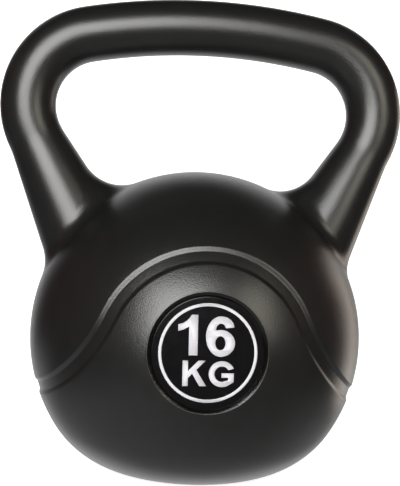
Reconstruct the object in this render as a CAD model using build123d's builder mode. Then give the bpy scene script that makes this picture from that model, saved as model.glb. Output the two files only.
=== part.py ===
# A 16 kg kettlebell of the cement-filled kind: a blow-moulded plastic shell, one piece with its
# handle, is filled with weighted cement through a hole in its base.  A bent steel rod is cast into
# the handle, a plug closes the filler hole, and a round printed badge lies in a pocket on each side.
#
# Frame, in millimetres: the origin is the centre of the flat base, +Z is up, X runs along the
# handle bar, and Y runs from the front face (-Y) to the back face (+Y).
import os
from math import asin, cos, degrees, radians, sin, sqrt, tan

from build123d import *

# ---- driving dimensions ----------------------------------------------------------------------
ball_diameter = 217.4            # the round body
foot_diameter = 74.0             # the flat that the kettlebell stands on
base_edge_radius = 65.0          # the large rounding from the foot up into the ball
wall = 3.0                       # of the blow-moulded shell, all round

handle_width = 266.0             # over the outsides of the handle's corners
handle_diameter = 36.0           # of the bar and its corners
opening_height = 77.0            # clear, from the top of the ball to the underside of the bar
bar_arc_radius = 390.0           # the bar is gently arched
corner_radius = 47.4             # of the tube's centre line
horn_lean = 27.3                 # degrees from the vertical
horn_taper = 7.8                 # degrees, half the angle of the horn's cone
horn_flare_radius = 40.0         # the arc that leads from the tube into the cone
horn_root_depth = 46.0           # how far a horn's cone runs on below the surface of the ball
horn_root_fillet = 28.0          # between a horn and the ball

band_top_height = 62.0           # upper edge of the sunk band, above the middle of the ball
band_arch_radius = 65.5          # upper edge, over the badge
band_sweep_radius = 124.0        # upper edge, where the curve turns outwards to the sides
band_turn_angle = 66.0           # degrees of arch on each side, before the curve turns
band_sweep_angle = 40.0          # degrees of the outward curve, which ends in a straight line
band_width = 7.4
band_depth = 1.2                 # of its face, below the surface of the ball

badge_rise = 3.4                 # centre of a badge, above the middle of the ball
badge_diameter = 64.0
badge_thickness = 0.8
badge_gap = 0.2                  # all round a badge, in its pocket
badge_bed_depth = 7.4            # from the crown of the ball to the floor of the pocket
badge_bevel = 48.0               # degrees that the wall of the pocket leans outwards

filler_diameter = 34.0           # the hole in the middle of the foot
plug_flange_diameter = 46.0
plug_flange_thickness = 2.0
plug_recess_depth = 2.6          # so that the plug sits above the face the kettlebell stands on
plug_skirt_length = 9.0
plug_skirt_wall = 2.0
plug_gap = 0.15                  # all round the plug, in its hole and in its recess
plug_air_gap = 1.0               # between the end of the skirt and the fill

rod_diameter = 14.0
rod_embedment = 30.0             # straight legs of the rod, below the surface of the ball

# ---- worked-out positions --------------------------------------------------------------------
ball_radius = ball_diameter / 2
foot_radius = foot_diameter / 2
tube_radius = handle_diameter / 2
ball_height = base_edge_radius + sqrt((ball_radius - base_edge_radius) ** 2 - foot_radius**2)
opening_floor = ball_height + ball_radius
bar_height = opening_floor + opening_height + tube_radius
bar_arc_height = bar_height - bar_arc_radius
corner_x = handle_width / 2 - tube_radius - corner_radius
bar_half_angle = degrees(asin(corner_x / (bar_arc_radius - corner_radius)))
corner_height = bar_arc_height + (bar_arc_radius - corner_radius) * cos(radians(bar_half_angle))
corner_angle = 90 + horn_lean - bar_half_angle

# a horn's axis: its start, where the corner bend ends, and its direction, down and inwards
horn_start = Vector(
    corner_x + corner_radius * cos(radians(horn_lean)),
    0,
    corner_height - corner_radius * sin(radians(horn_lean)),
)
horn_direction = Vector(-sin(radians(horn_lean)), 0, -cos(radians(horn_lean)))
to_ball = horn_start - Vector(0, 0, ball_height)
nearest = -to_ball.dot(horn_direction)
horn_reach = nearest - sqrt(nearest**2 - to_ball.dot(to_ball) + ball_radius**2)

# a badge's bed is square to the radius of the ball through its middle: one looks to the front
# and slightly up, the other to the back
badge_tilt = asin(badge_rise / ball_radius)
badge_directions = {
    "front_badge": Vector(0, -cos(badge_tilt), sin(badge_tilt)),
    "back_badge": Vector(0, cos(badge_tilt), sin(badge_tilt)),
}
bed_radius = badge_diameter / 2 + badge_gap

# the plug's flange lies in a shallow recess of the foot, and its skirt goes up the filler hole
plug_hole_radius = filler_diameter / 2
plug_recess_radius = plug_flange_diameter / 2 + plug_gap
plug_skirt_radius = plug_hole_radius - plug_gap
plug_top_height = plug_recess_depth + plug_skirt_length


def section_plane(x, height, radius, angle):
    """A plane across a bend about the Y direction, angle degrees round from the top of the bend."""
    turn = radians(angle)
    return Plane(
        origin=(x + radius * sin(turn), 0, height + radius * cos(turn)),
        x_dir=(0, 1, 0),
        z_dir=(cos(turn), 0, -sin(turn)),
    )


def add_ball(inset):
    """Add the ball with its flat foot, all its surfaces moved inwards by inset."""
    edge_centre = Vector(foot_radius, base_edge_radius)
    outwards = (edge_centre - Vector(0, ball_height)).normalized()
    joint = Vector(0, ball_height) + outwards * (ball_radius - inset)
    top = Vector(0, ball_height + ball_radius - inset)
    side = Vector(ball_radius - inset, ball_height)
    foot_edge = Vector(foot_radius, inset)
    sag = edge_centre + (outwards + Vector(0, -1)).normalized() * (base_edge_radius - inset)
    with BuildSketch(Plane(origin=(0, 0, 0), x_dir=(1, -1, 0), z_dir=(-1, -1, 0))) as profile:
        with BuildLine():
            Line((0, inset), foot_edge)
            ThreePointArc(foot_edge, sag, joint)
            ThreePointArc(joint, side, top)
            Line(top, (0, inset))
        make_face()
    revolve(profile.sketch, axis=Axis.Z)


def add_handle_tube(radius):
    """Add the arched bar and both corner bends, as one round tube or rod."""
    bends = [
        (0, bar_arc_height, bar_arc_radius, -bar_half_angle, 2 * bar_half_angle),
        (corner_x, corner_height, corner_radius, bar_half_angle, corner_angle),
        (-corner_x, corner_height, corner_radius, -90 - horn_lean, corner_angle),
    ]
    for x, height, bend_radius, first_angle, turn in bends:
        with BuildSketch(section_plane(x, height, bend_radius, first_angle)) as section:
            Circle(radius)
        revolve(section.sketch, axis=Axis((x, 0, height), (0, 1, 0)), revolution_arc=turn)


def add_horns(inset):
    """Add both horns: a short flare out of the tube, then a cone that runs into the ball."""
    radius = tube_radius - inset
    flare = horn_flare_radius + inset
    taper = radians(horn_taper)
    flare_end = Vector(radius + flare * (1 - cos(taper)), flare * sin(taper))
    flare_mid = Vector(radius + flare * (1 - cos(taper / 2)), flare * sin(taper / 2))
    length = horn_reach + horn_root_depth
    root = Vector(flare_end.X + (length - flare_end.Y) * tan(taper), length)
    for side in (1, -1):
        start = Vector(side * horn_start.X, 0, horn_start.Z)
        along = Vector(side * horn_direction.X, 0, horn_direction.Z)
        outwards = Vector(side * cos(radians(horn_lean)), 0, -sin(radians(horn_lean)))
        with BuildSketch(Plane(origin=start, x_dir=outwards, z_dir=(0, side, 0))) as profile:
            with BuildLine():
                Line((0, 0), (radius, 0))
                ThreePointArc((radius, 0), flare_mid, flare_end)
                Line(flare_end, root)
                Line(root, (0, length))
                Line((0, length), (0, 0))
            make_face()
        revolve(profile.sketch, axis=Axis(start, along))


def kettlebell_form(inset):
    """The ball, horns and bar blended into one form, all its surfaces moved inwards by inset."""
    with BuildPart() as form:
        add_ball(inset)
        add_handle_tube(tube_radius - inset)
        add_horns(inset)
        roots = form.edges().filter_by(GeomType.BSPLINE)
        fillet(roots, radius=horn_root_fillet + inset)
    return form.part


def badge_plane(direction, distance):
    """A plane square to a badge's direction, at a distance from the middle of the ball."""
    middle = Vector(0, 0, ball_height) + direction * distance
    return Plane(origin=middle, x_dir=(-direction.Y, direction.X, 0), z_dir=direction)


def badge_pocket(direction, grown):
    """The hollow of a badge's bed, floor and leaning wall moved outwards by grown."""
    depth = badge_bed_depth + grown
    lean = radians(badge_bevel)
    floor_radius = bed_radius + grown * (1 - sin(lean)) / cos(lean)
    upright = (Align.CENTER, Align.CENTER, Align.MIN)
    with BuildPart(badge_plane(direction, ball_radius - depth)) as pocket:
        Cone(floor_radius, floor_radius + depth * tan(lean), depth, align=upright)
    return pocket.part


def foot_recess(grown):
    """The recess in the foot for the plug's flange, its floor and wall moved outwards by grown."""
    with BuildPart() as recess:
        with BuildSketch():
            Circle(plug_recess_radius + grown)
        extrude(amount=plug_recess_depth + grown)
    return recess.part


def filler_hole(top):
    """The straight hole in the middle of the foot, from below it up to the height top."""
    with BuildPart() as hole:
        with BuildSketch():
            Circle(plug_hole_radius)
        extrude(amount=top)
    return hole.part


def band_edge_points(inwards):
    """Points along the right half of one edge of the band, inwards from its upper edge."""
    turn = radians(band_turn_angle)
    last = radians(band_turn_angle - band_sweep_angle)
    arch_centre = Vector(0, ball_height + band_top_height - band_arch_radius)
    centre_gap = band_arch_radius + band_sweep_radius
    sweep_centre = arch_centre + Vector(sin(turn), cos(turn)) * centre_gap
    arch = [
        arch_centre + Vector(sin(angle), cos(angle)) * (band_arch_radius - inwards)
        for angle in (0, turn / 2, turn)
    ]
    sweep = [
        sweep_centre - Vector(sin(angle), cos(angle)) * (band_sweep_radius + inwards)
        for angle in ((turn + last) / 2, last)
    ]
    clear_of_ball = sweep[1] + Vector(cos(last), -sin(last)) * ball_radius
    return arch + sweep + [clear_of_ball]


def add_band_edge(points):
    """Draw one edge of the band: the arch, the outward sweep, and a straight line past the ball."""
    top, arch_middle, turn, sweep_middle, sweep_end, clear_of_ball = points
    ThreePointArc(top, arch_middle, turn)
    ThreePointArc(turn, sweep_middle, sweep_end)
    Line(sweep_end, clear_of_ball)


def band_groove(grown):
    """The sunk band, which arches over the badges and sweeps out and down to both sides.

    Its edges and its face are moved outwards by grown, into the wall.
    """
    upper = band_edge_points(-grown)
    lower = band_edge_points(band_width + grown)
    with BuildSketch(Plane.XZ) as strip:
        with BuildLine():
            add_band_edge(upper)
            Line(upper[-1], lower[-1])
            add_band_edge(lower)
            Line(upper[0], lower[0])
        make_face()
        mirror(about=Plane.YZ)
    with BuildPart() as groove:
        extrude(strip.sketch, amount=ball_diameter, both=True)
        with Locations((0, 0, ball_height)):
            Sphere(ball_radius - band_depth - grown, mode=Mode.SUBTRACT)
    return groove.part


# ---- the hollow of the shell, which the fill takes up ----------------------------------------
with BuildPart() as hollow:
    add(kettlebell_form(wall))
    for direction in badge_directions.values():
        add(badge_pocket(direction, wall), mode=Mode.SUBTRACT)
    add(foot_recess(wall), mode=Mode.SUBTRACT)
    add(band_groove(wall), mode=Mode.SUBTRACT)

# ---- shell: ball, horns and handle bar in one blow-moulded piece -----------------------------
with BuildPart() as shell:
    add(kettlebell_form(0))
    add(band_groove(0), mode=Mode.SUBTRACT)
    for direction in badge_directions.values():
        add(badge_pocket(direction, 0), mode=Mode.SUBTRACT)
    add(hollow.part, mode=Mode.SUBTRACT)
    add(foot_recess(0), mode=Mode.SUBTRACT)
    add(filler_hole(plug_recess_depth + wall), mode=Mode.SUBTRACT)
shell.part.label = "shell"

# ---- handle rod: bent to the handle, its straight legs cast into the ball --------------------
with BuildPart() as handle_rod:
    add_handle_tube(rod_diameter / 2)
    for side in (1, -1):
        leg_start = Vector(side * horn_start.X, 0, horn_start.Z)
        leg_direction = Vector(side * horn_direction.X, 0, horn_direction.Z)
        with BuildSketch(Plane(origin=leg_start, z_dir=leg_direction)) as leg:
            Circle(rod_diameter / 2)
        extrude(leg.sketch, amount=horn_reach + rod_embedment)
handle_rod.part.label = "handle_rod"

# ---- body fill: the weighted cement, cast round the rod --------------------------------------
with BuildPart() as body_fill:
    add(hollow.part)
    add(handle_rod.part, mode=Mode.SUBTRACT)
    add(filler_hole(plug_top_height + plug_air_gap), mode=Mode.SUBTRACT)
body_fill.part.label = "body_fill"

# ---- fill plug: a flange that lies in the foot's recess, and a hollow skirt up the hole ------
with BuildPart() as fill_plug:
    with BuildSketch(Plane.XY.offset(plug_recess_depth - plug_flange_thickness)):
        Circle(plug_flange_diameter / 2)
    extrude(amount=plug_flange_thickness)
    with BuildSketch(Plane.XY.offset(plug_recess_depth)):
        Circle(plug_skirt_radius)
        Circle(plug_skirt_radius - plug_skirt_wall, mode=Mode.SUBTRACT)
    extrude(amount=plug_skirt_length)
fill_plug.part.label = "fill_plug"

# ---- badges: a printed disc on the floor of each pocket --------------------------------------
badges = []
for name, direction in badge_directions.items():
    with BuildPart() as badge:
        with BuildSketch(badge_plane(direction, ball_radius - badge_bed_depth)):
            Circle(badge_diameter / 2)
        extrude(amount=badge_thickness)
    badge.part.label = name
    badges.append(badge.part)

# ---- output ----------------------------------------------------------------------------------
os.makedirs("parts", exist_ok=True)
for piece in [shell.part, handle_rod.part, body_fill.part, fill_plug.part, *badges]:
    export_step(piece, f"parts/{piece.label}.step")
print("overall height", round(bar_height + tube_radius, 2), "mm")
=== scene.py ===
import bpy
import numpy as np
from mathutils import Matrix, Vector
from mathutils.geometry import tessellate_polygon


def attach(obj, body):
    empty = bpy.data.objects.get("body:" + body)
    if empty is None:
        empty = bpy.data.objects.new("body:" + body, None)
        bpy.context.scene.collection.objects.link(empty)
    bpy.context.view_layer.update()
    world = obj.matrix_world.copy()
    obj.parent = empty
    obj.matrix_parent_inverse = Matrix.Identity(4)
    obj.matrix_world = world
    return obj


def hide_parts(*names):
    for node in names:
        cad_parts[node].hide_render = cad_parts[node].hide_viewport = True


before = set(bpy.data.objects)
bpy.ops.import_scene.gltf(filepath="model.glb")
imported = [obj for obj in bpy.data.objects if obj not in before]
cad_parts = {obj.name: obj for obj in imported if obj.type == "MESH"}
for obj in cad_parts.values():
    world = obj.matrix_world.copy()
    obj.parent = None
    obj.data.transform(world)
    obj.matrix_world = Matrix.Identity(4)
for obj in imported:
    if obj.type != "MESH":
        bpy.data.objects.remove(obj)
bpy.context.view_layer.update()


# the quads between neighbouring rows and columns of a grid; a closed grid joins its last column to its first
def gridFaces(rows, columns, closed=True):
    i, j = np.meshgrid(np.arange(rows - 1), np.arange(columns if closed else columns - 1), indexing="ij")
    k = (j + 1) % columns
    return np.stack((i * columns + j, i * columns + k, (i + 1) * columns + k, (i + 1) * columns + j), -1)


# one list of points and faces from several blocks: points nearer than a ten-thousandth of a millimetre are made one,
# and points that no face uses are dropped
def joinBlocks(blocks):
    starts = np.cumsum([0] + [len(points) for points, _ in blocks])
    points = np.concatenate([points for points, _ in blocks])
    faces = np.concatenate([faces.reshape(-1, 4) + start for (_, faces), start in zip(blocks, starts)])
    cells = np.round(points * 1e4).astype(np.int64)
    _, first, same = np.unique(cells, axis=0, return_index=True, return_inverse=True)
    used, faces = np.unique(first[same.reshape(-1)[faces]], return_inverse=True)
    return points[used], faces.reshape(-1, 4)


# the same block seen in a mirror, along axis 0, 1 or 2, with its faces turned so that they still look outwards
def mirrored(block, axis):
    points, faces = block
    flip = np.ones(3)
    flip[axis] = -1
    return points * flip, faces.reshape(-1, 4)[:, ::-1]


# a mesh object from points in millimetres; a quad with two corners in one place becomes a triangle
def makePiece(name, points, faces, material, slot, replaces=()):
    quads, triangles = faces.reshape(-1, faces.shape[-1]), []
    if quads.shape[1] == 4:
        for k in range(4):
            pinched = quads[:, k] == quads[:, (k + 1) % 4]
            triangles += np.delete(quads[pinched], k, axis=1).tolist()
            quads = quads[~pinched]
    mesh = bpy.data.meshes.new(name)
    mesh.from_pydata(points * 0.001, [], quads.tolist() + triangles)
    mesh.polygons.foreach_set("use_smooth", np.ones(len(mesh.polygons), bool))
    mesh.materials.append(material)
    mesh.update()
    piece = bpy.data.objects.new(name, mesh)
    bpy.context.scene.collection.objects.link(piece)
    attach(piece, "root")
    if replaces:
        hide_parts(*replaces)
    return piece


# a value that goes from 0 to 1 as x goes from start to end, with no corner at either
def ease(x, start, end):
    t = np.clip((x - start) / (end - start), 0, 1)
    return t * t * (3 - 2 * t)


shellForm = {  # millimetres and degrees
    "ballRadius": 108.7, "ballHeight": 88.25, "footRadius": 37.0, "edgeRadius": 65.0,
    "tubeRadius": 18.0, "barHeight": 291.95, "barArcRadius": 390.0, "cornerX": 67.6, "cornerRadius": 47.4,
    "hornLean": 27.3, "hornTaper": 7.8, "hornFlareRadius": 40.0,
    "hornRootFillet": 28.0, "hornRootFrontFillet": 11.0,
    "bandTop": 62.0, "bandArchRadius": 65.5, "bandSweepRadius": 124.0, "bandTurn": 66.0, "bandSweep": 40.0,
    "bandWidth": 7.4, "bandDepth": 1.2, "bandUpperStep": 2.6, "bandUpperInset": 0.2, "bandUpperRounding": 0.02,
    "bandLowerStep": 3.2, "bandLowerInset": 0.7,
    "badgeRise": 3.4, "badgeBedRadius": 32.2, "badgeBedDepth": 7.4, "badgeBevel": 48.0,
    "badgeLipRounding": 0.45,
    "plugHoleRadius": 17.0, "plugRecessRadius": 23.15, "plugRecessDepth": 2.6, "wall": 3.0,
}
f = shellForm
ballMiddle = np.array([0, 0, f["ballHeight"]])
lean, taper = np.radians(f["hornLean"]), np.radians(f["hornTaper"])
edgeMiddle = np.array([f["footRadius"], f["edgeRadius"]])
jointElevation = np.arctan2(edgeMiddle[1] - f["ballHeight"], edgeMiddle[0])  # where the rounding of the foot ends
edgeLength = f["edgeRadius"] * (jointElevation + np.pi / 2)
outlineLength = edgeLength + f["ballRadius"] * (np.pi / 2 - jointElevation)


# distance s along the outline of the ball, from the edge of the foot: first the large rounding, then the ball to its
# top. Gives the radius from the upright axis, the height, and the elevation of the outward direction
def ballOutline(s):
    onBall = s > edgeLength
    elevation = np.where(
        onBall, jointElevation + (s - edgeLength) / f["ballRadius"], s / f["edgeRadius"] - np.pi / 2)
    radius = np.where(onBall, f["ballRadius"], f["edgeRadius"])
    middle = np.where(onBall[..., None], (0, f["ballHeight"]), edgeMiddle)
    return middle[..., 0] + radius * np.cos(elevation), middle[..., 1] + radius * np.sin(elevation), elevation


# height of an edge of the band at a distance x to the side, inwards from the upper edge: an arch over the badge, then
# a sweep outwards about a point beside the ball, then a straight line
def bandEdgeHeight(x, inwards):
    turn, last = np.radians(f["bandTurn"]), np.radians(f["bandTurn"] - f["bandSweep"])
    arch, sweep = f["bandArchRadius"] - inwards, f["bandSweepRadius"] + inwards
    archHeight = f["ballHeight"] + f["bandTop"] - f["bandArchRadius"]
    gap = f["bandArchRadius"] + f["bandSweepRadius"]
    sweepX, sweepHeight = gap * np.sin(turn), archHeight + gap * np.cos(turn)
    endX, endHeight = sweepX - sweep * np.sin(last), sweepHeight - sweep * np.cos(last)
    onArch = archHeight + np.sqrt(np.maximum(arch**2 - x**2, 0))
    onSweep = sweepHeight - np.sqrt(np.maximum(sweep**2 - (sweepX - x) ** 2, 0))
    straight = endHeight - (x - endX) * np.tan(last)
    return np.where(x < arch * np.sin(turn), onArch, np.where(x < endX, onSweep, straight))


# where each column of the ball crosses an edge of the band, by halving the span that holds the crossing; and how much
# longer a step across the edge is along the column than square to the edge
def bandCrossing(azimuth, inwards):
    low, high = np.full(azimuth.shape, edgeLength), np.full(azimuth.shape, outlineLength)
    for _ in range(50):
        middle = (low + high) / 2
        radius, height, _ = ballOutline(middle)
        below = height < bandEdgeHeight(radius * np.abs(np.cos(azimuth)), inwards)
        low, high = np.where(below, middle, low), np.where(below, high, middle)
    slope = (np.roll(low, -1) - np.roll(low, 1)) / (2 * (azimuth[1] - azimuth[0])) / ballOutline(low)[0]
    return low, np.sqrt(1 + slope**2)


# radius of the handle at a distance past the end of its corner bend: the tube, a short flare, then a cone
def hornRadius(past):
    flare = f["hornFlareRadius"]
    flareEnd = flare * np.sin(taper)
    flared = f["tubeRadius"] + flare - np.sqrt(flare**2 - np.clip(past, 0, flareEnd) ** 2)
    return flared + np.maximum(past - flareEnd, 0) * np.tan(taper)


barHalfTurn = np.arcsin(f["cornerX"] / (f["barArcRadius"] - f["cornerRadius"]))
barArcHeight = f["barHeight"] - f["barArcRadius"]
cornerHeight = barArcHeight + (f["barArcRadius"] - f["cornerRadius"]) * np.cos(barHalfTurn)
barLength = f["barArcRadius"] * barHalfTurn  # half of the bar
cornerEnd = barLength + f["cornerRadius"] * (np.pi / 2 + lean - barHalfTurn)
hornAxis = np.array([-np.sin(lean), 0, -np.cos(lean)])
hornOutwards = np.array([np.cos(lean), 0, -np.sin(lean)])
hornStart = np.array([f["cornerX"], 0, cornerHeight]) + f["cornerRadius"] * hornOutwards


# distance s along the centre line of the right half of the handle, from the middle of the bar: the bar's arc, the
# corner's arc, then the horn's straight axis. Gives the middle of the section and its outward direction
def handleLine(s):
    turn = np.where(s < barLength, s / f["barArcRadius"], barHalfTurn + (s - barLength) / f["cornerRadius"])
    turn = np.minimum(turn, np.pi / 2 + lean)
    outwards = np.stack((np.sin(turn), 0 * turn, np.cos(turn)), -1)
    onBar = (s < barLength)[:, None]
    middle = np.where(onBar, (0, 0, barArcHeight), (f["cornerX"], 0, cornerHeight))
    middle = middle + outwards * np.where(onBar, f["barArcRadius"], f["cornerRadius"])
    return middle + np.maximum(s - cornerEnd, 0)[:, None] * hornAxis, outwards


# directions square to the horn's axis, by angle round it: the outward direction, then the one to the back
def hornSide(angle, outwards):
    return np.cos(angle)[:, None] * outwards + np.sin(angle)[:, None] * np.array([0, 1, 0])


# the root of the right horn, by angle round the horn's axis: a ball rolls round the horn and touches both it and the
# kettlebell's ball, and is smaller at the front and back than in the opening, by the sine of the angle squared.
# Gives the rolling ball's radius, its middle and the directions to where it touches
def rootRoll(angle):
    front, opening = f["hornRootFrontFillet"], f["hornRootFillet"]
    fillet = opening - (opening - front) * np.sin(angle[:, None]) ** 2
    slope = np.tan(taper)
    side = hornSide(angle, hornOutwards)
    farOnCone = 100.0  # any distance past the flare
    coneStart = hornRadius(farOnCone) - farOnCone * slope + fillet / np.cos(taper)
    start = hornStart + coneStart * side - ballMiddle
    along = hornAxis + slope * side
    a, b = np.sum(along**2, 1), np.sum(along * start, 1)
    past = (-b - np.sqrt(b**2 - a * (np.sum(start**2, 1) - (f["ballRadius"] + fillet[:, 0]) ** 2))) / a
    middle = start + past[:, None] * along
    toBall = -middle / (f["ballRadius"] + fillet)
    toHorn = np.sin(taper) * hornAxis - np.cos(taper) * side
    return fillet, middle + ballMiddle, toBall, toHorn


shellGrid = {  # columns round the ball, rows of each of its parts, and rings of a horn, with lengths in millimetres
    "columns": 240, "bellyRows": 70, "bandRows": 3, "shoulderRows": 72, "insideRows": 60,
    "badgeColumns": 15, "badgeRows": (34, 65), "badgeRings": 7,
    "hornColumns": 24, "hornRows": (20, 60), "ballRings": 9, "arcRings": 18, "coneRings": 5,
    "rootEnd": 18.0, "tubeSpacing": 3.0,
}
g = shellGrid


# distances across an edge of the band, with more of them where the surface turns
def stepRows(width):
    return width * np.array([-0.75, -0.55, -0.42, -0.3, -0.15, 0, 0.15, 0.3, 0.42, 0.55, 0.75])


# points of a section carried round the upright axis: a radius from it, an azimuth round it and a height
def roundUpright(radius, azimuth, height):
    return np.stack(np.broadcast_arrays(radius * np.cos(azimuth), radius * np.sin(azimuth), height), -1)


# the ball as a grid: columns round the upright axis, rows from the hole in the foot up to the top, set closer together
# across the two edges of the band. The band's face lies its depth inside the ball, and each edge of it is a ramp
def ballBlock():
    azimuth = np.arange(g["columns"]) * 2 * np.pi / g["columns"]
    lower, lowerSlant = bandCrossing(azimuth, f["bandWidth"] + f["bandLowerInset"])
    upper, upperSlant = bandCrossing(azimuth, f["bandUpperInset"])
    lowerStep = lower + stepRows(f["bandLowerStep"])[:, None] * lowerSlant
    upperStep = upper + stepRows(f["bandUpperStep"])[:, None] * upperSlant
    belly = lowerStep[0] * np.linspace(0, 1, g["bellyRows"], endpoint=False)[:, None]
    share = np.linspace(0, 1, g["bandRows"] + 2)[1:-1, None]
    face = lowerStep[-1] + (upperStep[0] - lowerStep[-1]) * share
    share = np.linspace(0, 1, g["shoulderRows"] + 1)[1:, None]
    shoulder = upperStep[-1] + (outlineLength - upperStep[-1]) * share
    s = np.concatenate((belly, lowerStep, face, upperStep, shoulder))
    radius, height, elevation = ballOutline(s)
    outwards = roundUpright(np.cos(elevation), azimuth, np.sin(elevation))
    onBand = ease((s - lower) / lowerSlant, -f["bandLowerStep"] / 2, f["bandLowerStep"] / 2)
    drop = np.clip((upper - s) / upperSlant / f["bandUpperStep"] + 0.5, 0, 1)
    onBand = onBand * (drop - f["bandUpperRounding"] * np.sin(2 * np.pi * drop))
    points = roundUpright(radius, azimuth, height) - outwards * (f["bandDepth"] * onBand)[..., None]
    hole, recess, depth = f["plugHoleRadius"], f["plugRecessRadius"], f["plugRecessDepth"]
    foot = np.array([  # up the hole's wall, over the recess and down to the face it stands on, with small roundings
        (hole, depth + f["wall"]), (hole, depth + 0.3), (hole + 0.3, depth), (recess - 0.5, depth),
        (recess, depth - 0.4), (recess, 0.4), (recess + 0.12, 0.12), (recess + 0.4, 0), (30, 0)])
    points = np.concatenate((roundUpright(foot[:, :1], azimuth, foot[:, 1:]), points))
    points[-1] = (0, 0, f["ballHeight"] + f["ballRadius"])
    return points, len(foot), len(foot) + len(s) - g["shoulderRows"]


# the inside of the ball's wall, from the hole in the foot up to the top: the wall's thickness inside the foot, the
# recess and the ball, and inside the floor and the leaning wall of each badge's bed, where a line out from the middle
# of the ball would meet them
def insideBlock():
    azimuth = np.arange(g["columns"]) * 2 * np.pi / g["columns"]
    wall, top = f["wall"], f["plugRecessDepth"] + f["wall"]
    radius, height, elevation = ballOutline(np.linspace(0, outlineLength, g["insideRows"]))
    outline = np.stack((radius - wall * np.cos(elevation), height - wall * np.sin(elevation)), 1)
    recess = f["plugRecessRadius"] + wall
    section = np.concatenate(([(f["plugHoleRadius"], top), (recess, top), (recess, wall)], outline))
    points = roundUpright(section[:, :1], azimuth, section[:, 1:])
    points[-1] = (0, 0, f["ballHeight"] + f["ballRadius"] - wall)
    reach = np.linalg.norm(points - ballMiddle, axis=2)
    out = (points - ballMiddle) / reach[..., None]
    lean = np.radians(f["badgeBevel"])
    bevel, floor = np.tan(lean), badgeFloor - wall
    bed = f["badgeBedRadius"] + wall * (1 - np.sin(lean)) / np.cos(lean)
    ahead = np.abs(out[..., 1]) * -badgeOutwards[1] + out[..., 2] * badgeOutwards[2]
    aside = np.sqrt(np.maximum(1 - ahead**2, 0))
    least = 0.05  # keeps clear of dividing by nothing, far from the badges
    onWall = (floor * bevel - bed) / np.maximum(ahead * bevel - aside, least)
    depth = np.maximum(floor / np.maximum(ahead, least), onWall)
    nearBadge = ahead > 0.8
    points = ballMiddle + out * np.where(nearBadge, np.minimum(reach, depth), reach)[..., None]
    return points[::-1].reshape(-1, 3), gridFaces(*points.shape[:2])


# the points round the edge of a rectangle of a grid, in order, and which of the grid's faces lie inside it
def rectangle(points, rows, columns):
    (top, bottom), (left, right) = rows, columns
    n = points.shape[1]
    sides = (points[top, np.arange(left, right) % n], points[top:bottom, right % n],
             points[bottom, np.arange(right, left, -1) % n], points[bottom:top:-1, left % n])
    inside = np.zeros((points.shape[0] - 1, n), bool)
    inside[top:bottom, np.arange(left, right) % n] = True
    return np.concatenate(sides), inside


# the root of the right horn and half of the handle: rings that start as a rectangle on the ball, are drawn in to where
# the root's arc starts, go round that arc and up the horn's cone, and then along the handle to the middle of the bar
def handleBlock(edge):
    across = edge - hornStart - ((edge - hornStart) @ hornAxis)[:, None] * hornAxis
    angle = np.unwrap(np.arctan2(across[:, 1], across @ hornOutwards))
    turn = np.sign(angle[-1] - angle[0]) * 2 * np.pi / len(edge)
    angle = angle.mean() + turn * (np.arange(len(edge)) - (len(edge) - 1) / 2)
    fillet, middle, toBall, toHorn = rootRoll(angle)
    t = np.linspace(0, 1, g["ballRings"] + 1)[:, None, None]
    onBall = (edge - ballMiddle) * (1 - t) + (middle + toBall * fillet - ballMiddle) * t
    onBall = ballMiddle + onBall / np.linalg.norm(onBall, axis=2, keepdims=True) * f["ballRadius"]
    onBall[0] = edge
    between = np.arccos(np.sum(toBall * toHorn, 1))[:, None]
    t = np.linspace(0, 1, g["arcRings"] + 1)[1:, None, None]
    arc = (np.sin((1 - t) * between) * toBall + np.sin(t * between) * toHorn) / np.sin(between)
    onArc = middle + fillet * arc
    side = hornSide(angle, hornOutwards)
    ring = hornStart + g["rootEnd"] * hornAxis + hornRadius(g["rootEnd"]) * side
    t = np.linspace(0, 1, g["coneRings"] + 1)[1:, None, None]
    onCone = onArc[-1] * (1 - t) + ring * t
    s = np.linspace(cornerEnd + g["rootEnd"], 0, int((cornerEnd + g["rootEnd"]) / g["tubeSpacing"]))[1:]
    middle, outwards = handleLine(s)
    side = hornSide(angle, outwards[:, None])
    tube = middle[:, None] + hornRadius(s - cornerEnd)[:, None, None] * side
    tube[-1, :, 0] = 0
    rings = np.concatenate((onBall, onArc, onCone, tube))
    return rings.reshape(-1, 3), gridFaces(len(rings), len(edge))


# middle, right and up directions of the badge on the front, seen from in front of it
badgeTilt = np.arcsin(f["badgeRise"] / f["ballRadius"])
badgeOutwards = np.array([0, -np.cos(badgeTilt), np.sin(badgeTilt)])
badgeUp = np.array([0, np.sin(badgeTilt), np.cos(badgeTilt)])
badgeRight = np.array([1.0, 0, 0])
badgeFloor = f["ballRadius"] - f["badgeBedDepth"]  # from the middle of the ball


# a point at each radius and height over the badge's axis
def badgePoints(radius, angle, height):
    flat = radius[..., None] * (np.cos(angle)[..., None] * badgeRight + np.sin(angle)[..., None] * badgeUp)
    return ballMiddle + flat + np.asarray(height)[..., None] * badgeOutwards


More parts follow.
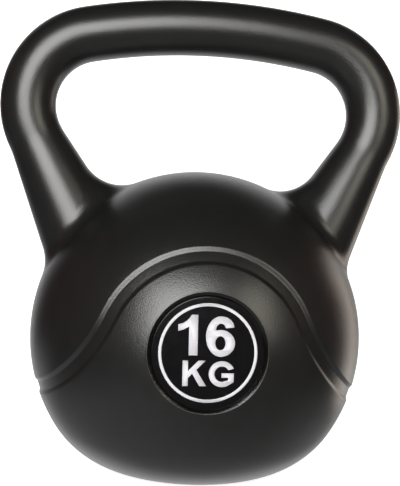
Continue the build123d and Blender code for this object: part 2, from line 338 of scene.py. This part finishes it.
# the bed of the front badge: rings that start as a rectangle on the ball, are drawn in to a circle, and then follow
# the section of the lip, the leaning wall and the flat floor
def badgeBlock(edge):
    flat = edge - ballMiddle
    angle = np.arctan2(flat @ badgeUp, flat @ badgeRight)
    out = np.hypot(flat @ badgeUp, flat @ badgeRight)
    bevel, bed, floor = np.tan(np.radians(f["badgeBevel"])), f["badgeBedRadius"], badgeFloor
    lip = bed + 1.0
    for _ in range(30):  # the radius where the wall meets the ball
        lip = bed + (np.sqrt(f["ballRadius"] ** 2 - lip**2) - floor) * bevel
    top, r = np.sqrt(f["ballRadius"] ** 2 - lip**2), f["badgeLipRounding"]
    t = np.linspace(0, 1, g["badgeRings"] + 1)[1:, None]
    radii = out + (lip + 2.2 * r - out) * ease(t, -0.6, 1)
    onBall = badgePoints(radii, angle, np.sqrt(f["ballRadius"] ** 2 - radii**2))
    section = np.array([  # over the raised lip, down the leaning wall and across the floor to its middle
        (lip + 1.5 * r, top - 0.5 * r + 0.02), (lip + 0.9 * r, top - 0.31 * r + 0.06),
        (lip + 0.35 * r, top - 0.12 * r - 0.02), (lip - 0.1 * r, top - 0.42 * r),
        (lip - 0.7 * r, top - 0.95 * r), (lip - 1.2 * r, top - 1.2 * r / bevel * 1.05),
        (bed + 0.25, floor + 0.22), (bed + 0.02, floor + 0.03),
        (bed - 0.25, floor), (bed - 2, floor), (20, floor), (8, floor), (0, floor)])
    pocket = badgePoints(section[:, :1] + 0 * angle, angle, section[:, 1:] + 0 * angle)
    rings = np.concatenate((edge[None], onBall, pocket))
    return rings.reshape(-1, 3), gridFaces(len(rings), len(edge))


# the whole shell: the ball's grid with a rectangle of its faces left out for each horn and each badge, the blocks that
# fill those in, made once and mirrored, and the inside of the wall
def shellMesh():
    ball, bellyStart, shoulderStart = ballBlock()
    quarter = g["columns"] // 4
    keep = np.ones((ball.shape[0] - 1, ball.shape[1]), bool)
    blocks = []
    rows = tuple(shoulderStart + r for r in g["hornRows"])
    for middle in (0, 2 * quarter):
        edge, inside = rectangle(ball, rows, (middle - g["hornColumns"], middle + g["hornColumns"]))
        keep &= ~inside
        if middle == 0:
            blocks += [handleBlock(edge)]
    blocks += [mirrored(blocks[0], 0)]
    rows = tuple(bellyStart + r for r in g["badgeRows"])
    for middle in (3 * quarter, quarter):
        edge, inside = rectangle(ball, rows, (middle - g["badgeColumns"], middle + g["badgeColumns"]))
        keep &= ~inside
        if middle == 3 * quarter:
            blocks += [badgeBlock(edge)]
    blocks += [mirrored(blocks[2], 1)]
    blocks += [(ball.reshape(-1, 3), gridFaces(*ball.shape[:2])[keep]), insideBlock()]
    return joinBlocks(blocks)


# a new material, with its nodes, its links, its shader and the coordinates that its patterns are laid out on
def newMaterial(name):
    material = bpy.data.materials.new(name)
    material.use_nodes = True
    nodes, links = material.node_tree.nodes, material.node_tree.links
    shader = nodes["Principled BSDF"]
    coordinates = nodes.new("ShaderNodeTexCoord").outputs["Object"]
    return material, nodes, links, shader, coordinates


# noise of a given size in metres
def addNoise(nodes, links, coordinates, size, detail=3.0, roughness=0.5):
    noise = nodes.new("ShaderNodeTexNoise")
    noise.inputs["Scale"].default_value = 1 / size
    noise.inputs["Detail"].default_value = detail
    noise.inputs["Roughness"].default_value = roughness
    links.new(coordinates, noise.inputs["Vector"])
    return noise.outputs["Fac"]


# value taken from one range to another
def addRange(nodes, links, value, fromLow, fromHigh, toLow, toHigh, smooth=False):
    ranged = nodes.new("ShaderNodeMapRange")
    ranged.interpolation_type = "SMOOTHSTEP" if smooth else "LINEAR"
    for k, number in zip(("From Min", "From Max", "To Min", "To Max"), (fromLow, fromHigh, toLow, toHigh)):
        ranged.inputs[k].default_value = number
    links.new(value, ranged.inputs["Value"])
    return ranged.outputs["Result"]


# a socket is given a number, a colour, or what another node puts out
def feed(links, socket, value):
    if isinstance(value, bpy.types.NodeSocket):
        links.new(value, socket)
    else:
        socket.default_value = (*value, 1) if isinstance(value, tuple) else value


# a sum, a product or the like of its values
def addMath(nodes, links, operation, *values):
    math = nodes.new("ShaderNodeMath")
    math.operation = operation
    for socket, value in zip(math.inputs, values):
        feed(links, socket, value)
    return math.outputs["Value"]


# colour between two, by a value from 0 to 1
def addColour(nodes, links, value, low, high):
    mix = nodes.new("ShaderNodeMix")
    mix.data_type = "RGBA"
    feed(links, mix.inputs["A"], low)
    feed(links, mix.inputs["B"], high)
    links.new(value, mix.inputs["Factor"])
    return mix.outputs["Result"]


# distance from a point, with each coordinate first multiplied by its part of the scale
def addDistance(nodes, links, coordinates, scale, point):
    scaled = nodes.new("ShaderNodeVectorMath")
    scaled.operation = "MULTIPLY"
    links.new(coordinates, scaled.inputs[0])
    scaled.inputs[1].default_value = scale
    away = nodes.new("ShaderNodeVectorMath")
    away.operation = "DISTANCE"
    links.new(scaled.outputs["Vector"], away.inputs[0])
    away.inputs[1].default_value = point
    return away.outputs["Value"]


# a bump of the given height in metres, on top of another one
def addBump(nodes, links, height, distance, under=None):
    bump = nodes.new("ShaderNodeBump")
    bump.inputs["Distance"].default_value = distance
    bump.inputs["Strength"].default_value = 1.0
    links.new(height, bump.inputs["Height"])
    if under is not None:
        links.new(under, bump.inputs["Normal"])
    return bump.outputs["Normal"]


shellFinish = {  # sizes and heights in metres
    "dark": (0.0055, 0.0054, 0.0054), "light": (0.0066, 0.0064, 0.0064), "roughness": (0.28, 0.3),
    "grainSize": 0.0009, "grainHeight": 0.00011, "waveSize": 0.03, "waveHeight": 0.00012, "cloudSize": 0.012,
    "seamWidth": 0.00035, "seamHeight": 0.00006, "specular": 0.5,
    "scuffFull": 0.0005, "scuffTop": 0.004, "scuffRoughness": 0.15, "bedEdge": (-0.0008, 0.0002),
    # the beds' colour is painted shade: a darker black for the recessed beds of the badges
    "bedMiddle": (0, 0, 0.09165), "bedRadius": 0.0344, "bedShadeColour": (0.002, 0.002, 0.002), "bedRoughness": 0.13,
}


# satin black plastic: a fine moulded grain, a faint waviness of the blown wall, the mould's parting line where the
# front and back halves met, scuffs where it stands on the floor, and in the beds of the badges a smoother black
# that is darkened as painted shade
def shellMaterial():
    s = shellFinish
    material, nodes, links, shader, coordinates = newMaterial("satinBlackPlastic")
    grain = addNoise(nodes, links, coordinates, s["grainSize"], 2.0, 0.6)
    wave = addNoise(nodes, links, coordinates, s["waveSize"], 1.0)
    cloud = addNoise(nodes, links, coordinates, s["cloudSize"], 4.0, 0.6)
    place = nodes.new("ShaderNodeSeparateXYZ")
    links.new(coordinates, place.inputs["Vector"])
    offSeam = addMath(nodes, links, "ABSOLUTE", place.outputs["Y"])
    seam = addRange(nodes, links, offSeam, 0, s["seamWidth"], 1, 0, True)
    low = addRange(nodes, links, place.outputs["Z"], s["scuffFull"], s["scuffTop"], 1, 0, True)
    scuff = addMath(nodes, links, "MULTIPLY", low, addRange(nodes, links, cloud, 0.45, 0.6, 0, 1, True))
    shade = addMath(nodes, links, "ADD", addRange(nodes, links, cloud, 0.3, 0.7, 0, 0.8), scuff)
    colour = addColour(nodes, links, shade, s["dark"], s["light"])
    rough = addRange(nodes, links, cloud, 0.3, 0.7, *s["roughness"])
    rough = addMath(nodes, links, "ADD", rough, addMath(nodes, links, "MULTIPLY", scuff, s["scuffRoughness"]))
    # painted shade: inside the beds of the badges the base colour turns a darker black, for the shade in the recesses
    away = addDistance(nodes, links, coordinates, (1, 0, 1), s["bedMiddle"])
    outside = addRange(nodes, links, away, *(s["bedRadius"] + edge for edge in s["bedEdge"]), 0, 1, True)
    links.new(addColour(nodes, links, outside, s["bedShadeColour"], colour), shader.inputs["Base Color"])
    rougher = addMath(nodes, links, "SUBTRACT", rough, s["bedRoughness"])
    rough = addMath(nodes, links, "MULTIPLY_ADD", rougher, outside, s["bedRoughness"])
    links.new(rough, shader.inputs["Roughness"])
    normal = addBump(nodes, links, wave, s["waveHeight"])
    normal = addBump(nodes, links, seam, s["seamHeight"], normal)
    normal = addBump(nodes, links, grain, s["grainHeight"], normal)
    links.new(normal, shader.inputs["Normal"])
    shader.inputs["Specular IOR Level"].default_value = s["specular"]
    return material


badgeFinish = {  # sizes and heights in metres
    "dark": (0.0022, 0.0021, 0.0022), "light": (0.0036, 0.0034, 0.0035), "roughness": (0.13, 0.17),
    "cloudSize": 0.006, "speckSize": 0.0006, "speckHeight": 0.00001, "specular": 0.16,
}


# smooth printed face of a badge: black, with very faint clouds and specks, and a finer gloss than the shell's
def badgeMaterial():
    s = badgeFinish
    material, nodes, links, shader, coordinates = newMaterial("badgeBlack")
    cloud = addNoise(nodes, links, coordinates, s["cloudSize"], 3.0)
    speck = addNoise(nodes, links, coordinates, s["speckSize"], 1.0)
    links.new(addColour(nodes, links, cloud, s["dark"], s["light"]), shader.inputs["Base Color"])
    links.new(addRange(nodes, links, cloud, 0.3, 0.7, *s["roughness"]), shader.inputs["Roughness"])
    links.new(addBump(nodes, links, speck, s["speckHeight"]), shader.inputs["Normal"])
    shader.inputs["Specular IOR Level"].default_value = s["specular"]
    return material


inkFinish = {
    "dark": (0.315, 0.311, 0.335), "light": (0.36, 0.356, 0.382), "roughness": (0.5, 0.62),
    "cloudSize": 0.002, "cloudHeight": 0.00001,
}


# white ink, printed thickly, with small unevennesses in its tone
def inkMaterial():
    s = inkFinish
    material, nodes, links, shader, coordinates = newMaterial("whiteInk")
    cloud = addNoise(nodes, links, coordinates, s["cloudSize"], 3.0)
    links.new(addColour(nodes, links, cloud, s["dark"], s["light"]), shader.inputs["Base Color"])
    links.new(addRange(nodes, links, cloud, 0.3, 0.7, *s["roughness"]), shader.inputs["Roughness"])
    links.new(addBump(nodes, links, cloud, s["cloudHeight"]), shader.inputs["Normal"])
    return material


plugFinish = {  # turning marks: radians of their wave in each metre
    "dark": (0.011, 0.011, 0.012), "light": (0.019, 0.019, 0.020), "roughness": (0.4, 0.52),
    "grainSize": 0.0007, "grainHeight": 0.00001, "cloudSize": 0.008, "turningMarks": 9000.0, "markHeight": 0.000004,
}


# harder black plastic of the plug, with turning marks of the mould round its middle
def plugMaterial():
    s = plugFinish
    material, nodes, links, shader, coordinates = newMaterial("plugPlastic")
    grain = addNoise(nodes, links, coordinates, s["grainSize"], 2.0)
    cloud = addNoise(nodes, links, coordinates, s["cloudSize"], 3.0)
    away = addDistance(nodes, links, coordinates, (1, 1, 0), (0, 0, 0))
    marks = addMath(nodes, links, "SINE", addMath(nodes, links, "MULTIPLY", away, s["turningMarks"]))
    links.new(addColour(nodes, links, cloud, s["dark"], s["light"]), shader.inputs["Base Color"])
    links.new(addRange(nodes, links, cloud, 0.3, 0.7, *s["roughness"]), shader.inputs["Roughness"])
    normal = addBump(nodes, links, marks, s["markHeight"])
    links.new(addBump(nodes, links, grain, s["grainHeight"], normal), shader.inputs["Normal"])
    return material


cementFinish = {
    "dark": (0.13, 0.125, 0.115), "light": (0.40, 0.385, 0.36), "roughness": (0.8, 0.95),
    "cloudSize": 0.02, "sandSize": 0.0012, "sandHeight": 0.0003, "holesInMetre": 190, "holeReach": (0.08, 0.22),
}


# cast cement weighted with iron sand: grey paste with dark grains, pale dust and small air holes
def cementMaterial():
    s = cementFinish
    material, nodes, links, shader, coordinates = newMaterial("castCement")
    cloud = addNoise(nodes, links, coordinates, s["cloudSize"], 6.0, 0.6)
    sand = addNoise(nodes, links, coordinates, s["sandSize"], 3.0, 0.7)
    holes = nodes.new("ShaderNodeTexVoronoi")
    holes.inputs["Scale"].default_value = s["holesInMetre"]
    links.new(coordinates, holes.inputs["Vector"])
    hole = addRange(nodes, links, holes.outputs["Distance"], *s["holeReach"], 1, 0, True)
    grey = addMath(nodes, links, "ADD", cloud, addRange(nodes, links, sand, 0.35, 0.65, -0.3, 0.2))
    links.new(addColour(nodes, links, grey, s["dark"], s["light"]), shader.inputs["Base Color"])
    links.new(addRange(nodes, links, sand, 0.3, 0.7, *s["roughness"]), shader.inputs["Roughness"])
    pitted = addMath(nodes, links, "SUBTRACT", sand, hole)
    links.new(addBump(nodes, links, pitted, s["sandHeight"]), shader.inputs["Normal"])
    return material


rodFinish = {
    "steel": (0.40, 0.385, 0.37), "rust": (0.16, 0.075, 0.04), "roughness": (0.32, 0.8), "metallic": (1, 0.1),
    "patchSize": 0.015, "fineSize": 0.0008, "fineHeight": 0.00002,
}


# drawn steel rod: grey metal with a fine roughness and thin brown rust in patches
def rodMaterial():
    s = rodFinish
    material, nodes, links, shader, coordinates = newMaterial("drawnSteel")
    patch = addNoise(nodes, links, coordinates, s["patchSize"], 5.0, 0.65)
    fine = addNoise(nodes, links, coordinates, s["fineSize"], 3.0, 0.6)
    rust = addRange(nodes, links, patch, 0.52, 0.66, 0, 1, True)
    links.new(addColour(nodes, links, rust, s["steel"], s["rust"]), shader.inputs["Base Color"])
    links.new(addRange(nodes, links, rust, 0, 1, *s["metallic"]), shader.inputs["Metallic"])
    links.new(addRange(nodes, links, rust, 0, 1, *s["roughness"]), shader.inputs["Roughness"])
    links.new(addBump(nodes, links, fine, s["fineHeight"]), shader.inputs["Normal"])
    return material


shell = makePiece("shell_skin", *shellMesh(), shellMaterial(), "shell", ["shell"])
print("shell", len(shell.data.polygons), "faces")


badge = {  # millimetres from the middle of the badge; the print is turned a little, in degrees
    "radius": 32.0, "thickness": 0.8, "edgeRounding": 0.35, "inkThickness": 0.05, "inkSunk": 0.02,
    "printTurn": 0.8,
    "ringRadius": 27.17, "ringWidth": 1.75, "ringRight": 0.0, "ringUp": 0.16,
}


# a section, radius and height, carried round an axis in equal steps; place puts a radius, angle and height in space
def turned(section, columns, place):
    angle = np.arange(columns) * 2 * np.pi / columns
    points = place(section[:, :1] + 0 * angle, angle, section[:, 1:] + 0 * angle)
    return points.reshape(-1, 3), gridFaces(len(section), columns)


# points round an arc of an ellipse, from one angle to another in degrees, anticlockwise from the right
def arcPoints(x, y, width, height, start, end, count):
    angle = np.radians(np.linspace(start, end, count))
    return np.stack((x + width * np.cos(angle), y + height * np.sin(angle)), 1)


# the outlines of the printed ring, the figures and the unit, each an outside and its holes, anticlockwise: straight
# lines and arcs of ellipses
def printOutlines():
    x, y, half = badge["ringRight"], badge["ringUp"], badge["ringWidth"] / 2
    ring = [arcPoints(x, y, badge["ringRadius"] + r, badge["ringRadius"] + r, 0, 360, 181)[:-1] for r in (half, -half)]
    one = [np.array([(-10.9, -1.3), (-5.9, -1.3), (-5.9, 21.6), (-9.5, 21.6), (-10.5, 19.9), (-12.1, 18.3),
                     (-14.4, 16.8), (-17.0, 16.1), (-17.0, 12.4), (-14.0, 13.2), (-10.9, 14.9)])]
    six = [np.concatenate((
        arcPoints(7.15, 14.4, 7.5, 6.45, 8, 88, 16), arcPoints(7.15, 9.45, 8.45, 11.4, 90, 268, 44),
        arcPoints(6.95, 5.6, 8.25, 7.55, 270, 466, 44), arcPoints(7.15, 13.3, 2.8, 3.45, 182, 14, 22),
        [(14.45, 14.6)])), arcPoints(6.9, 5.7, 2.9, 3.95, 0, 360, 41)[:-1]]
    unitK = [np.array([(-14.2, -18.6), (-11.1, -18.6), (-11.1, -14.1), (-8.7, -11.6), (-4.6, -18.6), (-0.7, -18.6),
                       (-6.4, -9.4), (-1.2, -4.2), (-5.3, -4.2), (-11.1, -10.2), (-11.1, -4.2), (-14.2, -4.2)])]
    unitG = [np.concatenate((
        arcPoints(8.1, -11.7, 7.45, 7.3, 25, 303, 60),
        [(14.9, -16.1), (14.9, -11.2), (7.9, -11.2), (7.9, -13.7), (11.6, -13.7), (11.6, -15.2)],
        arcPoints(8.1, -11.7, 4.2, 4.35, 297, 31, 50)))]
    return {"ring": ring, "figure_1": one, "figure_6": six, "unit_k": unitK, "unit_g": unitG}


# a flat shape of the ink's thickness: a face on top, one below and walls round each outline
def inkMesh(outlines):
    outlines = [outlines[0]] + [hole[::-1] for hole in outlines[1:]]
    corners = tessellate_polygon([[Vector((x, y, 0)) for x, y in outline] for outline in outlines])
    flat, top = np.concatenate(outlines), np.array([(*corner, corner[-1]) for corner in corners])
    n = len(flat)
    (x0, y0), (x1, y1), (x2, y2) = (flat[top[:, c]].T for c in range(3))
    turnedOver = (x1 - x0) * (y2 - y0) - (x2 - x0) * (y1 - y0) < 0
    top[turnedOver] = top[turnedOver][:, [0, 2, 1, 1]]
    starts = np.cumsum([0] + [len(outline) for outline in outlines])
    here = np.arange(n)
    after = np.concatenate([start + (np.arange(len(o)) + 1) % len(o) for start, o in zip(starts, outlines)])
    walls = np.stack((here + n, after + n, after, here), 1)
    faces = np.concatenate((top, top[:, ::-1] + n, walls))
    turn, right, up = np.radians(badge["printTurn"]), flat[:, 0], flat[:, 1]
    x, y = right * np.cos(turn) - up * np.sin(turn), right * np.sin(turn) + up * np.cos(turn)
    height = badgeFloor + badge["thickness"] + np.repeat((badge["inkThickness"], -badge["inkSunk"]), n)
    flat = np.tile(x, 2)[:, None] * badgeRight + np.tile(y, 2)[:, None] * badgeUp
    return ballMiddle + flat + height[:, None] * badgeOutwards, faces


# the disc's section, from the middle of its back, round its edge, to the middle of its face
def discSection():
    radius, top, rounding = badge["radius"], badgeFloor + badge["thickness"], badge["edgeRounding"]
    back = [(0, badgeFloor), (radius - 0.1, badgeFloor), (radius, badgeFloor + 0.1)]
    edge = arcPoints(radius - rounding, top - rounding, rounding, rounding, 0, 90, 6)
    return np.concatenate((back, edge, [(radius - 1, top), (20, top), (8, top), (0, top)]))


halfTurn = np.array([-1, -1, 1])  # about the upright axis, from the front to the back
black, ink = badgeMaterial(), inkMaterial()
for side, turnAbout in (("front", 1), ("back", halfTurn)):
    points, faces = turned(discSection(), 180, badgePoints)
    makePiece(side + "_badge_disc", points * turnAbout, faces, black, "badge", [side + "_badge"])
    for part, outlines in printOutlines().items():
        points, faces = inkMesh(outlines)
        makePiece(side + "_" + part, points * turnAbout, faces, ink, "badge", [side + "_badge"])
print("badges and print")


plug = {  # millimetres: radius and height, from the middle underneath, round the flange and the skirt
    "columns": 96,
    "section": ((0, 1.0), (1.7, 1.0), (2.0, 0.75), (2.3, 0.6), (9.5, 0.6), (9.8, 0.9), (11.2, 0.9), (11.5, 0.6),
                (22.4, 0.6), (22.85, 0.75), (23.0, 1.1), (23.0, 2.3), (22.7, 2.6), (17.2, 2.6), (16.85, 2.8),
                (16.85, 11.1), (16.5, 11.6), (15.2, 11.6), (14.85, 11.3), (14.85, 2.9), (14.5, 2.6), (0, 2.6)),
}
points, faces = turned(np.array(plug["section"]), plug["columns"], roundUpright)
makePiece("base_plug", points, faces, plugMaterial(), "plug", ["fill_plug"])
for node, material in (("body_fill", cementMaterial()), ("handle_rod", rodMaterial())):
    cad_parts[node].data.materials.clear()
    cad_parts[node].data.materials.append(material)
print("plug, fill and rod")


studio = {  # metres and degrees; each light: its direction (azimuth, elevation), distance, width, height, watts, colour
    "floorSize": 6.0, "backdropDistance": 2.6, "backdropCurve": 0.8, "backdropHeight": 5.0,
    "floorColour": (0.86, 0.86, 0.86), "floorLight": 0.95,
    "lightTarget": (0, 0, 0.16),
    "lights": {
        "softBoxLeft": (-16, 18.5, 1.4, 1.05, 0.95, 36, (1.0, 0.995, 0.975)),
        "softBoxRight": (37, 18, 1.3, 0.5, 0.7, 5.2, (1.0, 0.945, 0.80)),
        "sidePanel": (127, -4, 1.2, 0.42, 0.95, 2.2, (1.0, 0.88, 0.78)),
    },
    "skyUp": 0.012,
    "skyLow": {"strength": 0.42, "toLeft": 0.24, "toBack": 0.38, "most": 0.42, "up": (-0.6, -0.25)},
    "skyBehind": {"strength": 1.0, "back": (0.3, 0.6), "aside": (0.3, 0.66), "up": (0.42, 0.75)},
    "skyLowBehind": {"strength": 0.62, "back": (0.35, 0.85), "up": (-0.3, -0.05)},
    "skyAside": {"colour": (5.5, 1.8, 1.4), "aside": (0.55, 0.9), "up": (-0.15, 0.1)},
}


# pale paper that glows a little by itself, with faint clouds in its tone
def paperMaterial():
    material, nodes, links, shader, coordinates = newMaterial("palePaper")
    cloud = addNoise(nodes, links, coordinates, 0.4, 2.0)
    colour, paler = studio["floorColour"], tuple(c * 1.02 for c in studio["floorColour"])
    tone = addColour(nodes, links, cloud, colour, paler)
    links.new(tone, shader.inputs["Base Color"])
    links.new(tone, shader.inputs["Emission Color"])
    shader.inputs["Emission Strength"].default_value = studio["floorLight"]
    shader.inputs["Roughness"].default_value = 0.9
    return material


# floor and backdrop in one sheet: flat, then round a wide curve, then upright
def makeFloor():
    far, curve, half = studio["backdropDistance"], studio["backdropCurve"], studio["floorSize"]
    turn = np.linspace(0, np.pi / 2, 24)
    depth = np.concatenate(([-half], far - curve + curve * np.sin(turn), [far]))
    height = np.concatenate(([0], curve - curve * np.cos(turn), [studio["backdropHeight"]]))
    side = np.linspace(-half, half, 3)
    points = np.stack(np.broadcast_arrays(side, depth[:, None], height[:, None]), -1)
    mesh = bpy.data.meshes.new("floor")
    mesh.from_pydata(points.reshape(-1, 3), [], gridFaces(len(depth), 3, False).reshape(-1, 4).tolist())
    mesh.polygons.foreach_set("use_smooth", np.ones(len(mesh.polygons), bool))
    mesh.materials.append(paperMaterial())
    floor = bpy.data.objects.new("floor", mesh)
    bpy.context.scene.collection.objects.link(floor)
    floor.visible_glossy = False


# an area light in a direction and at a distance from the kettlebell, turned to face it
def makeLight(name, azimuth, elevation, distance, width, height, watts, colour):
    a, e = np.radians([azimuth, elevation])
    towards = Vector((np.sin(a) * np.cos(e), -np.cos(a) * np.cos(e), np.sin(e)))
    light = bpy.data.lights.new(name, "AREA")
    light.shape, light.size, light.size_y = "RECTANGLE", width, height
    light.energy, light.color = watts, colour
    lamp = bpy.data.objects.new(name, light)
    lamp.location = Vector(studio["lightTarget"]) + towards * distance
    lamp.rotation_euler = towards.to_track_quat("Z", "Y").to_euler()
    lamp.visible_camera = False
    bpy.context.scene.collection.objects.link(lamp)


# the room round the kettlebell, by the direction looked in: white for the camera, pale low behind, dim and a little
# red above on both sides, dim above, and in between below, more so to the left and to the back
def makeRoom():
    world = bpy.data.worlds.new("room")
    world.use_nodes = True
    nodes, links = world.node_tree.nodes, world.node_tree.links
    place = nodes.new("ShaderNodeSeparateXYZ")
    links.new(nodes.new("ShaderNodeTexCoord").outputs["Generated"], place.inputs["Vector"])
    right, back, up = (place.outputs[axis] for axis in "XYZ")
    aside = addMath(nodes, links, "ABSOLUTE", right)
    sky = studio["skyLow"]
    bright = addMath(nodes, links, "MULTIPLY_ADD", right, -sky["toLeft"], sky["strength"])
    bright = addMath(nodes, links, "ADD", bright, addMath(nodes, links, "MULTIPLY", back, sky["toBack"]))
    bright = addMath(nodes, links, "MINIMUM", bright, sky["most"])
    bright = addMath(nodes, links, "MULTIPLY", bright, addRange(nodes, links, up, *sky["up"], 1, 0, True))
    bright = addMath(nodes, links, "MAXIMUM", bright, studio["skyUp"])
    for sky in (studio["skyBehind"], studio["skyLowBehind"]):  # the brightest patch wins
        patch = addRange(nodes, links, back, *sky["back"], 0, sky["strength"], True)
        for name, value in (("aside", aside), ("up", up)):
            if name in sky:
                fade = addRange(nodes, links, value, *sky[name], 1, 0, True)
                patch = addMath(nodes, links, "MULTIPLY", patch, fade)
        bright = addMath(nodes, links, "MAXIMUM", bright, patch)
    seen = nodes.new("ShaderNodeLightPath").outputs["Is Camera Ray"]
    bright = addMath(nodes, links, "MAXIMUM", bright, seen)
    sky = studio["skyAside"]
    red = addRange(nodes, links, aside, *sky["aside"], 0, 1, True)
    red = addMath(nodes, links, "MULTIPLY", red, addRange(nodes, links, up, *sky["up"], 0, 1, True))
    red = addMath(nodes, links, "MULTIPLY", red, addMath(nodes, links, "SUBTRACT", 1, seen))
    links.new(bright, nodes["Background"].inputs["Strength"])
    links.new(addColour(nodes, links, red, (1, 1, 1), sky["colour"]), nodes["Background"].inputs["Color"])
    bpy.context.scene.world = world


camera = {  # degrees and metres, and the lens and the sensor in millimetres
    "azimuth": -4.55, "elevation": 2.02, "roll": 2.14, "distance": 0.6289, "target": (0.0013, 0, 0.1497),
    "lens": 69.68, "sensorWidth": 36.0, "nearest": 0.02, "farthest": 50,
}


# the camera looks at its target along azimuth and elevation, and is then rolled about its own line of sight
def makeCamera():
    a, e, r = np.radians([camera["azimuth"], camera["elevation"], camera["roll"]])
    back = Vector((np.sin(a) * np.cos(e), -np.cos(a) * np.cos(e), np.sin(e)))
    level = Vector((np.cos(a), np.sin(a), 0))
    upright = back.cross(level)
    right, up = np.cos(r) * level + np.sin(r) * upright, np.cos(r) * upright - np.sin(r) * level
    data = bpy.data.cameras.new("camera")
    data.lens, data.sensor_width = camera["lens"], camera["sensorWidth"]
    data.clip_start, data.clip_end = camera["nearest"], camera["farthest"]
    seen = bpy.data.objects.new("camera", data)
    seen.matrix_world = Matrix.Translation(Vector(camera["target"]) + back * camera["distance"]) @ \
        Matrix((right, up, back)).transposed().to_4x4()
    bpy.context.scene.collection.objects.link(seen)
    bpy.context.scene.camera = seen


makeFloor()
for name, values in studio["lights"].items():
    makeLight(name, *values)
makeCamera()
makeRoom()
bpy.context.scene.view_settings.view_transform = "Standard"
print("floor, light and camera")
